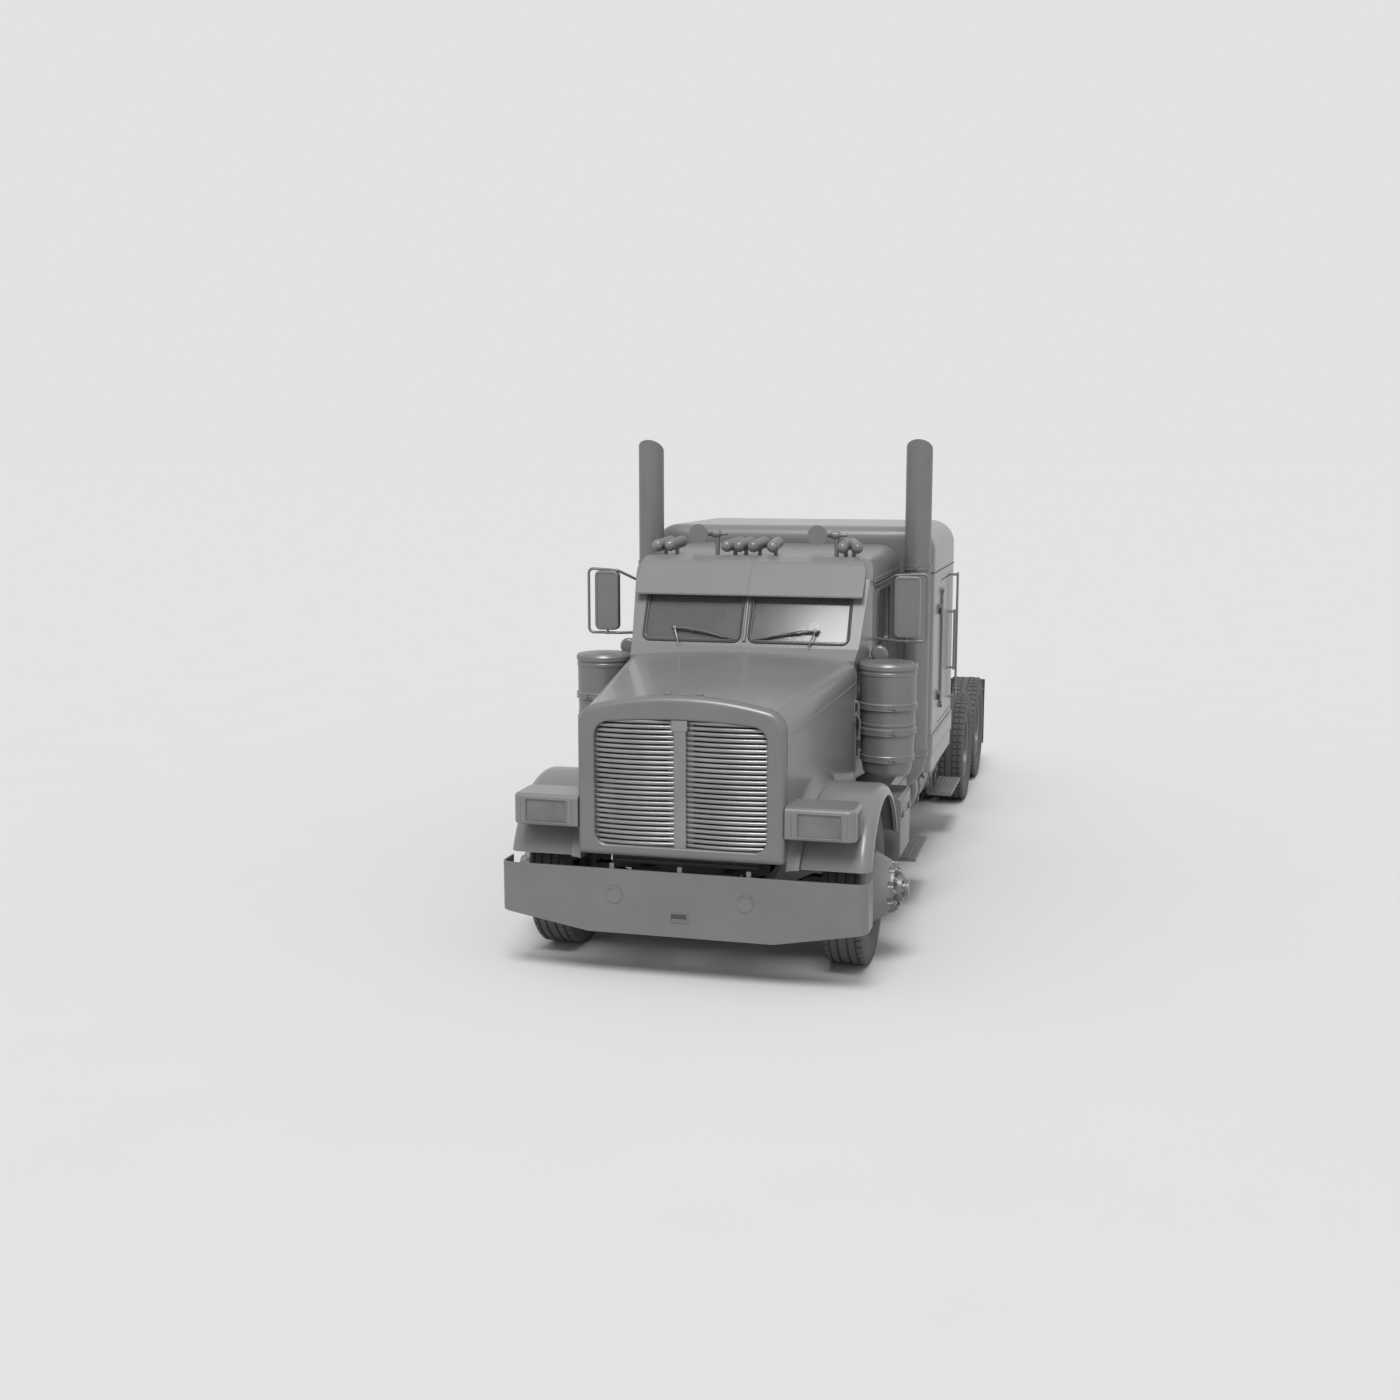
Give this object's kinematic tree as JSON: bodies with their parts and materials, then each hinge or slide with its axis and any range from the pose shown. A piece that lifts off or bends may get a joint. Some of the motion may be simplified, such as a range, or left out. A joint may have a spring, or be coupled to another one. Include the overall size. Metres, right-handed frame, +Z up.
{
  "type": "semi truck tractor unit",
  "caption": "Long-nose semi truck tractor with a sleeper, tilting hood, opening doors, steered front wheels, exhaust stacks and a tandem drive bogie under a fifth wheel.",
  "frame": {"origin": "on the ground under the middle of the truck's length and width", "axes": "+Z up, the truck faces -Y and its left side is +X"},
  "size_m": [2.836, 8.46, 3.6254],
  "materials": {
    "body_paint": "satin",
    "frame_paint": "satin",
    "bright_metal": "satin",
    "alloy": "satin",
    "tyre": "matte",
    "cast": "matte",
    "rubber": "matte",
    "glass": "gloss",
    "lens": "gloss",
    "trim": "matte",
    "seat": "matte"
  },
  "bodies": {
    "chassis": {"frame": "frame_paint", "mudflaps": "rubber", "bumper": "bright_metal", "engine": "cast", "radiator": "frame_paint", "front_axle": "frame_paint", "front_springs": "frame_paint", "driveline": "frame_paint", "rear_suspension": "frame_paint", "fifth_wheel_base": "cast", "fuel_tanks": "alloy", "side_boxes": "alloy", "exhaust_stacks": "bright_metal", "air_cleaners": "bright_metal", "cab_body": "body_paint", "windshield": "glass", "visor": "body_paint", "roof_lamps": "bright_metal", "air_horns": "bright_metal", "spot_mirrors": "bright_metal", "dashboard": "trim", "seats": "seat", "sleeper_body": "body_paint", "sleeper_roof": "body_paint"},
    "hood": {"hood_panel": "body_paint", "grille_surround": "bright_metal", "grille_bars": "bright_metal", "fenders": "body_paint", "headlamps": "body_paint", "headlamp_lenses": "lens"},
    "coupling": {"fifth_wheel_plate": "cast"},
    "left_door": {"door_left": "body_paint", "door_glass_left": "glass", "mirror_left": "bright_metal"},
    "left_sleeper_door": {"sleeper_door_left": "body_paint"},
    "left_knuckle": {"knuckle_left": "cast"},
    "left_front_wheel": {"front_tyre_left": "tyre", "front_wheel_left": "alloy"},
    "left_drive_wheels_1": {"drive_tyres_1_left": "tyre", "drive_wheels_1_left": "alloy"},
    "left_drive_wheels_2": {"drive_tyres_2_left": "tyre", "drive_wheels_2_left": "alloy"},
    "right_door": {"door_right": "body_paint", "door_glass_right": "glass", "mirror_right": "bright_metal"},
    "right_sleeper_door": {"sleeper_door_right": "body_paint"},
    "right_knuckle": {"knuckle_right": "cast"},
    "right_front_wheel": {"front_tyre_right": "tyre", "front_wheel_right": "alloy"},
    "right_drive_wheels_1": {"drive_tyres_1_right": "tyre", "drive_wheels_1_right": "alloy"},
    "right_drive_wheels_2": {"drive_tyres_2_right": "tyre", "drive_wheels_2_right": "alloy"}
  },
  "joints": [
    {"name": "hood_tilt", "type": "hinge", "parent": "chassis", "child": "hood", "pos_m": [0, -4.09, 0.9], "axis": [1, 0, 0], "range_deg": [0, 70]},
    {"name": "coupling_tilt", "type": "hinge", "parent": "chassis", "child": "coupling", "pos_m": [0, 2.79, 1.13], "axis": [1, 0, 0], "range_deg": [-10, 10]},
    {"name": "left_door_swing", "type": "hinge", "parent": "chassis", "child": "left_door", "pos_m": [0.952, -2.048, 1.6], "axis": [0, 0, -1], "range_deg": [0, 70]},
    {"name": "left_sleeper_door_swing", "type": "hinge", "parent": "chassis", "child": "left_sleeper_door", "pos_m": [1.244, -0.194, 1.6], "axis": [0, 0, -1], "range_deg": [0, 95]},
    {"name": "left_steer", "type": "hinge", "parent": "chassis", "child": "left_knuckle", "pos_m": [0.86, -3.41, 0.545], "axis": [0, 0, 1], "range_deg": [-35, 35]},
    {"name": "left_front_spin", "type": "hinge", "parent": "left_knuckle", "child": "left_front_wheel", "pos_m": [1.035, -3.41, 0.545], "axis": [1, 0, 0], "continuous": true},
    {"name": "left_drive_spin_1", "type": "hinge", "parent": "chassis", "child": "left_drive_wheels_1", "pos_m": [0.947, 2.315, 0.545], "axis": [1, 0, 0], "continuous": true},
    {"name": "left_drive_spin_2", "type": "hinge", "parent": "chassis", "child": "left_drive_wheels_2", "pos_m": [0.947, 3.585, 0.545], "axis": [1, 0, 0], "continuous": true},
    {"name": "right_door_swing", "type": "hinge", "parent": "chassis", "child": "right_door", "pos_m": [-0.952, -2.048, 1.6], "axis": [0, 0, 1], "range_deg": [0, 70]},
    {"name": "right_sleeper_door_swing", "type": "hinge", "parent": "chassis", "child": "right_sleeper_door", "pos_m": [-1.244, -0.194, 1.6], "axis": [0, 0, 1], "range_deg": [0, 95]},
    {"name": "right_steer", "type": "hinge", "parent": "chassis", "child": "right_knuckle", "pos_m": [-0.86, -3.41, 0.545], "axis": [0, 0, 1], "range_deg": [-35, 35]},
    {"name": "right_front_spin", "type": "hinge", "parent": "right_knuckle", "child": "right_front_wheel", "pos_m": [-1.035, -3.41, 0.545], "axis": [1, 0, 0], "continuous": true},
    {"name": "right_drive_spin_1", "type": "hinge", "parent": "chassis", "child": "right_drive_wheels_1", "pos_m": [-0.947, 2.315, 0.545], "axis": [1, 0, 0], "continuous": true},
    {"name": "right_drive_spin_2", "type": "hinge", "parent": "chassis", "child": "right_drive_wheels_2", "pos_m": [-0.947, 3.585, 0.545], "axis": [1, 0, 0], "continuous": true}
  ],
  "couplings": [
    {"joint": "right_steer", "follows": "left_steer", "ratio": 1}
  ]
}
